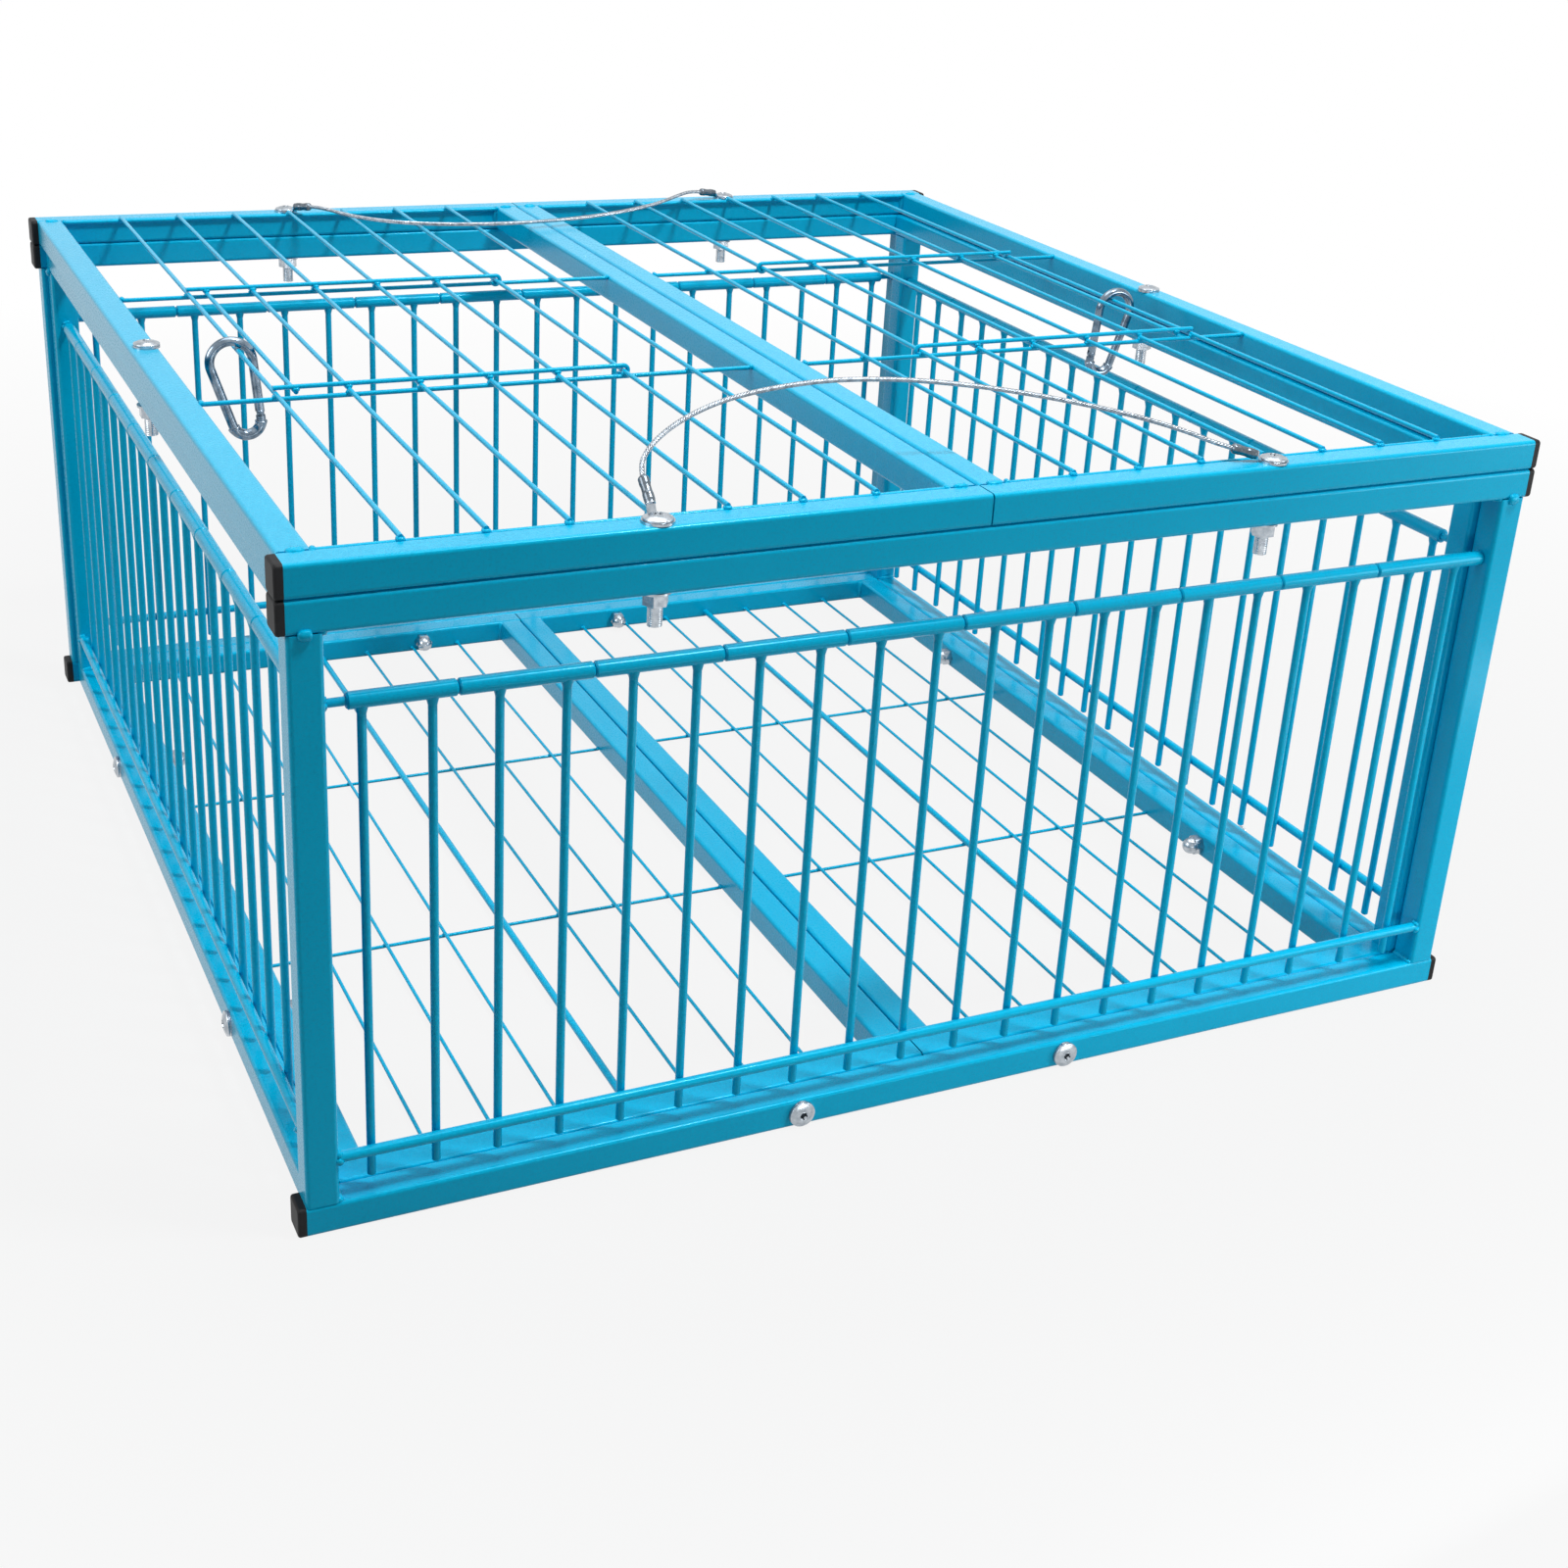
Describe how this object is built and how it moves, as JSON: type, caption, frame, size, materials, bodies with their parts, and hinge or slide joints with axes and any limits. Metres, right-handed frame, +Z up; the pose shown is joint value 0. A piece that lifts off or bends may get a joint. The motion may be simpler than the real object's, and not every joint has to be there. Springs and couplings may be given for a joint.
{
  "type": "pigeon trap",
  "caption": "Low square-tube trap cage with swinging one-way bars on all four sides, wire mesh top and base, lift-up hatches held by snap hooks and rope handles.",
  "frame": {"origin": "middle of the footprint, on the surface that the trap stands on", "axes": "+X to the right along the front panel, +Y to the back, +Z up"},
  "size_m": [0.81, 0.847, 0.4533],
  "materials": {
    "blue_coat": "satin powder coat",
    "zinc_steel": "zinc plated",
    "hook_steel": "zinc plated",
    "rope_steel": "galvanised wire",
    "black_plastic": "matte"
  },
  "bodies": {
    "frame": {"front_panel": "blue_coat", "right_panel": "blue_coat", "back_panel": "blue_coat", "left_panel": "blue_coat", "top_frame_left": "blue_coat", "top_frame_right": "blue_coat", "base_frame_left": "blue_coat", "base_frame_right": "blue_coat", "end_caps": "black_plastic", "bolts": "zinc_steel", "nuts_and_washers": "zinc_steel", "rope_lugs": "zinc_steel", "front_rope": "rope_steel", "back_rope": "rope_steel", "snap_hook_left": "hook_steel", "snap_hook_right": "hook_steel"},
    "front_bob_01": {"front_bob_01": "blue_coat"},
    "front_bob_02": {"front_bob_02": "blue_coat"},
    "front_bob_03": {"front_bob_03": "blue_coat"},
    "front_bob_04": {"front_bob_04": "blue_coat"},
    "front_bob_05": {"front_bob_05": "blue_coat"},
    "front_bob_06": {"front_bob_06": "blue_coat"},
    "front_bob_07": {"front_bob_07": "blue_coat"},
    "front_bob_08": {"front_bob_08": "blue_coat"},
    "front_bob_09": {"front_bob_09": "blue_coat"},
    "front_bob_10": {"front_bob_10": "blue_coat"},
    "right_bob_01": {"right_bob_01": "blue_coat"},
    "right_bob_02": {"right_bob_02": "blue_coat"},
    "right_bob_03": {"right_bob_03": "blue_coat"},
    "right_bob_04": {"right_bob_04": "blue_coat"},
    "right_bob_05": {"right_bob_05": "blue_coat"},
    "right_bob_06": {"right_bob_06": "blue_coat"},
    "right_bob_07": {"right_bob_07": "blue_coat"},
    "right_bob_08": {"right_bob_08": "blue_coat"},
    "right_bob_09": {"right_bob_09": "blue_coat"},
    "right_bob_10": {"right_bob_10": "blue_coat"},
    "back_bob_01": {"back_bob_01": "blue_coat"},
    "back_bob_02": {"back_bob_02": "blue_coat"},
    "back_bob_03": {"back_bob_03": "blue_coat"},
    "back_bob_04": {"back_bob_04": "blue_coat"},
    "back_bob_05": {"back_bob_05": "blue_coat"},
    "back_bob_06": {"back_bob_06": "blue_coat"},
    "back_bob_07": {"back_bob_07": "blue_coat"},
    "back_bob_08": {"back_bob_08": "blue_coat"},
    "back_bob_09": {"back_bob_09": "blue_coat"},
    "back_bob_10": {"back_bob_10": "blue_coat"},
    "left_bob_01": {"left_bob_01": "blue_coat"},
    "left_bob_02": {"left_bob_02": "blue_coat"},
    "left_bob_03": {"left_bob_03": "blue_coat"},
    "left_bob_04": {"left_bob_04": "blue_coat"},
    "left_bob_05": {"left_bob_05": "blue_coat"},
    "left_bob_06": {"left_bob_06": "blue_coat"},
    "left_bob_07": {"left_bob_07": "blue_coat"},
    "left_bob_08": {"left_bob_08": "blue_coat"},
    "left_bob_09": {"left_bob_09": "blue_coat"},
    "left_bob_10": {"left_bob_10": "blue_coat"},
    "hatch_left": {"hatch_left": "blue_coat"},
    "hook_gate_left": {"hook_gate_left": "hook_steel"},
    "hatch_right": {"hatch_right": "blue_coat"},
    "hook_gate_right": {"hook_gate_right": "hook_steel"}
  },
  "joints": [
    {"name": "front_bob_01_swing", "type": "hinge", "parent": "frame", "child": "front_bob_01", "pos_m": [0, -0.4096, 0.319], "axis": [1, 0, 0], "range_deg": [0, 90]},
    {"name": "front_bob_02_swing", "type": "hinge", "parent": "frame", "child": "front_bob_02", "pos_m": [0, -0.4096, 0.319], "axis": [1, 0, 0], "range_deg": [0, 90]},
    {"name": "front_bob_03_swing", "type": "hinge", "parent": "frame", "child": "front_bob_03", "pos_m": [0, -0.4096, 0.319], "axis": [1, 0, 0], "range_deg": [0, 90]},
    {"name": "front_bob_04_swing", "type": "hinge", "parent": "frame", "child": "front_bob_04", "pos_m": [0, -0.4096, 0.319], "axis": [1, 0, 0], "range_deg": [0, 90]},
    {"name": "front_bob_05_swing", "type": "hinge", "parent": "frame", "child": "front_bob_05", "pos_m": [0, -0.4096, 0.319], "axis": [1, 0, 0], "range_deg": [0, 90]},
    {"name": "front_bob_06_swing", "type": "hinge", "parent": "frame", "child": "front_bob_06", "pos_m": [0, -0.4096, 0.319], "axis": [1, 0, 0], "range_deg": [0, 90]},
    {"name": "front_bob_07_swing", "type": "hinge", "parent": "frame", "child": "front_bob_07", "pos_m": [0, -0.4096, 0.319], "axis": [1, 0, 0], "range_deg": [0, 90]},
    {"name": "front_bob_08_swing", "type": "hinge", "parent": "frame", "child": "front_bob_08", "pos_m": [0, -0.4096, 0.319], "axis": [1, 0, 0], "range_deg": [0, 90]},
    {"name": "front_bob_09_swing", "type": "hinge", "parent": "frame", "child": "front_bob_09", "pos_m": [0, -0.4096, 0.319], "axis": [1, 0, 0], "range_deg": [0, 90]},
    {"name": "front_bob_10_swing", "type": "hinge", "parent": "frame", "child": "front_bob_10", "pos_m": [0, -0.4096, 0.319], "axis": [1, 0, 0], "range_deg": [0, 90]},
    {"name": "right_bob_01_swing", "type": "hinge", "parent": "frame", "child": "right_bob_01", "pos_m": [0.386, 0, 0.319], "axis": [0, 1, 0], "range_deg": [0, 70]},
    {"name": "right_bob_02_swing", "type": "hinge", "parent": "frame", "child": "right_bob_02", "pos_m": [0.386, 0, 0.319], "axis": [0, 1, 0], "range_deg": [0, 70]},
    {"name": "right_bob_03_swing", "type": "hinge", "parent": "frame", "child": "right_bob_03", "pos_m": [0.386, 0, 0.319], "axis": [0, 1, 0], "range_deg": [0, 70]},
    {"name": "right_bob_04_swing", "type": "hinge", "parent": "frame", "child": "right_bob_04", "pos_m": [0.386, 0, 0.319], "axis": [0, 1, 0], "range_deg": [0, 70]},
    {"name": "right_bob_05_swing", "type": "hinge", "parent": "frame", "child": "right_bob_05", "pos_m": [0.386, 0, 0.319], "axis": [0, 1, 0], "range_deg": [0, 70]},
    {"name": "right_bob_06_swing", "type": "hinge", "parent": "frame", "child": "right_bob_06", "pos_m": [0.386, 0, 0.319], "axis": [0, 1, 0], "range_deg": [0, 70]},
    {"name": "right_bob_07_swing", "type": "hinge", "parent": "frame", "child": "right_bob_07", "pos_m": [0.386, 0, 0.319], "axis": [0, 1, 0], "range_deg": [0, 70]},
    {"name": "right_bob_08_swing", "type": "hinge", "parent": "frame", "child": "right_bob_08", "pos_m": [0.386, 0, 0.319], "axis": [0, 1, 0], "range_deg": [0, 70]},
    {"name": "right_bob_09_swing", "type": "hinge", "parent": "frame", "child": "right_bob_09", "pos_m": [0.386, 0, 0.319], "axis": [0, 1, 0], "range_deg": [0, 70]},
    {"name": "right_bob_10_swing", "type": "hinge", "parent": "frame", "child": "right_bob_10", "pos_m": [0.386, 0, 0.319], "axis": [0, 1, 0], "range_deg": [0, 70]},
    {"name": "back_bob_01_swing", "type": "hinge", "parent": "frame", "child": "back_bob_01", "pos_m": [0, 0.4096, 0.319], "axis": [-1, 0, 0], "range_deg": [0, 90]},
    {"name": "back_bob_02_swing", "type": "hinge", "parent": "frame", "child": "back_bob_02", "pos_m": [0, 0.4096, 0.319], "axis": [-1, 0, 0], "range_deg": [0, 90]},
    {"name": "back_bob_03_swing", "type": "hinge", "parent": "frame", "child": "back_bob_03", "pos_m": [0, 0.4096, 0.319], "axis": [-1, 0, 0], "range_deg": [0, 90]},
    {"name": "back_bob_04_swing", "type": "hinge", "parent": "frame", "child": "back_bob_04", "pos_m": [0, 0.4096, 0.319], "axis": [-1, 0, 0], "range_deg": [0, 90]},
    {"name": "back_bob_05_swing", "type": "hinge", "parent": "frame", "child": "back_bob_05", "pos_m": [0, 0.4096, 0.319], "axis": [-1, 0, 0], "range_deg": [0, 90]},
    {"name": "back_bob_06_swing", "type": "hinge", "parent": "frame", "child": "back_bob_06", "pos_m": [0, 0.4096, 0.319], "axis": [-1, 0, 0], "range_deg": [0, 90]},
    {"name": "back_bob_07_swing", "type": "hinge", "parent": "frame", "child": "back_bob_07", "pos_m": [0, 0.4096, 0.319], "axis": [-1, 0, 0], "range_deg": [0, 90]},
    {"name": "back_bob_08_swing", "type": "hinge", "parent": "frame", "child": "back_bob_08", "pos_m": [0, 0.4096, 0.319], "axis": [-1, 0, 0], "range_deg": [0, 90]},
    {"name": "back_bob_09_swing", "type": "hinge", "parent": "frame", "child": "back_bob_09", "pos_m": [0, 0.4096, 0.319], "axis": [-1, 0, 0], "range_deg": [0, 90]},
    {"name": "back_bob_10_swing", "type": "hinge", "parent": "frame", "child": "back_bob_10", "pos_m": [0, 0.4096, 0.319], "axis": [-1, 0, 0], "range_deg": [0, 90]},
    {"name": "left_bob_01_swing", "type": "hinge", "parent": "frame", "child": "left_bob_01", "pos_m": [-0.386, 0, 0.319], "axis": [0, -1, 0], "range_deg": [0, 70]},
    {"name": "left_bob_02_swing", "type": "hinge", "parent": "frame", "child": "left_bob_02", "pos_m": [-0.386, 0, 0.319], "axis": [0, -1, 0], "range_deg": [0, 70]},
    {"name": "left_bob_03_swing", "type": "hinge", "parent": "frame", "child": "left_bob_03", "pos_m": [-0.386, 0, 0.319], "axis": [0, -1, 0], "range_deg": [0, 70]},
    {"name": "left_bob_04_swing", "type": "hinge", "parent": "frame", "child": "left_bob_04", "pos_m": [-0.386, 0, 0.319], "axis": [0, -1, 0], "range_deg": [0, 70]},
    {"name": "left_bob_05_swing", "type": "hinge", "parent": "frame", "child": "left_bob_05", "pos_m": [-0.386, 0, 0.319], "axis": [0, -1, 0], "range_deg": [0, 70]},
    {"name": "left_bob_06_swing", "type": "hinge", "parent": "frame", "child": "left_bob_06", "pos_m": [-0.386, 0, 0.319], "axis": [0, -1, 0], "range_deg": [0, 70]},
    {"name": "left_bob_07_swing", "type": "hinge", "parent": "frame", "child": "left_bob_07", "pos_m": [-0.386, 0, 0.319], "axis": [0, -1, 0], "range_deg": [0, 70]},
    {"name": "left_bob_08_swing", "type": "hinge", "parent": "frame", "child": "left_bob_08", "pos_m": [-0.386, 0, 0.319], "axis": [0, -1, 0], "range_deg": [0, 70]},
    {"name": "left_bob_09_swing", "type": "hinge", "parent": "frame", "child": "left_bob_09", "pos_m": [-0.386, 0, 0.319], "axis": [0, -1, 0], "range_deg": [0, 70]},
    {"name": "left_bob_10_swing", "type": "hinge", "parent": "frame", "child": "left_bob_10", "pos_m": [-0.386, 0, 0.319], "axis": [0, -1, 0], "range_deg": [0, 70]},
    {"name": "hatch_left_lift", "type": "hinge", "parent": "frame", "child": "hatch_left", "pos_m": [-0.10988, 0, 0.4006], "axis": [0, 1, 0], "range_deg": [0, 110]},
    {"name": "hook_gate_left_press", "type": "hinge", "parent": "frame", "child": "hook_gate_left", "pos_m": [-0.32273, -0.026, 0.35894], "axis": [0, -1, 0], "range_deg": [0, 22], "stiffness_Nm_per_rad": 0.05, "springref_deg": -17.19},
    {"name": "hatch_right_lift", "type": "hinge", "parent": "frame", "child": "hatch_right", "pos_m": [0.10988, 0, 0.4006], "axis": [0, -1, 0], "range_deg": [0, 110]},
    {"name": "hook_gate_right_press", "type": "hinge", "parent": "frame", "child": "hook_gate_right", "pos_m": [0.32273, -0.026, 0.35894], "axis": [0, 1, 0], "range_deg": [0, 22], "stiffness_Nm_per_rad": 0.05, "springref_deg": -17.19}
  ]
}
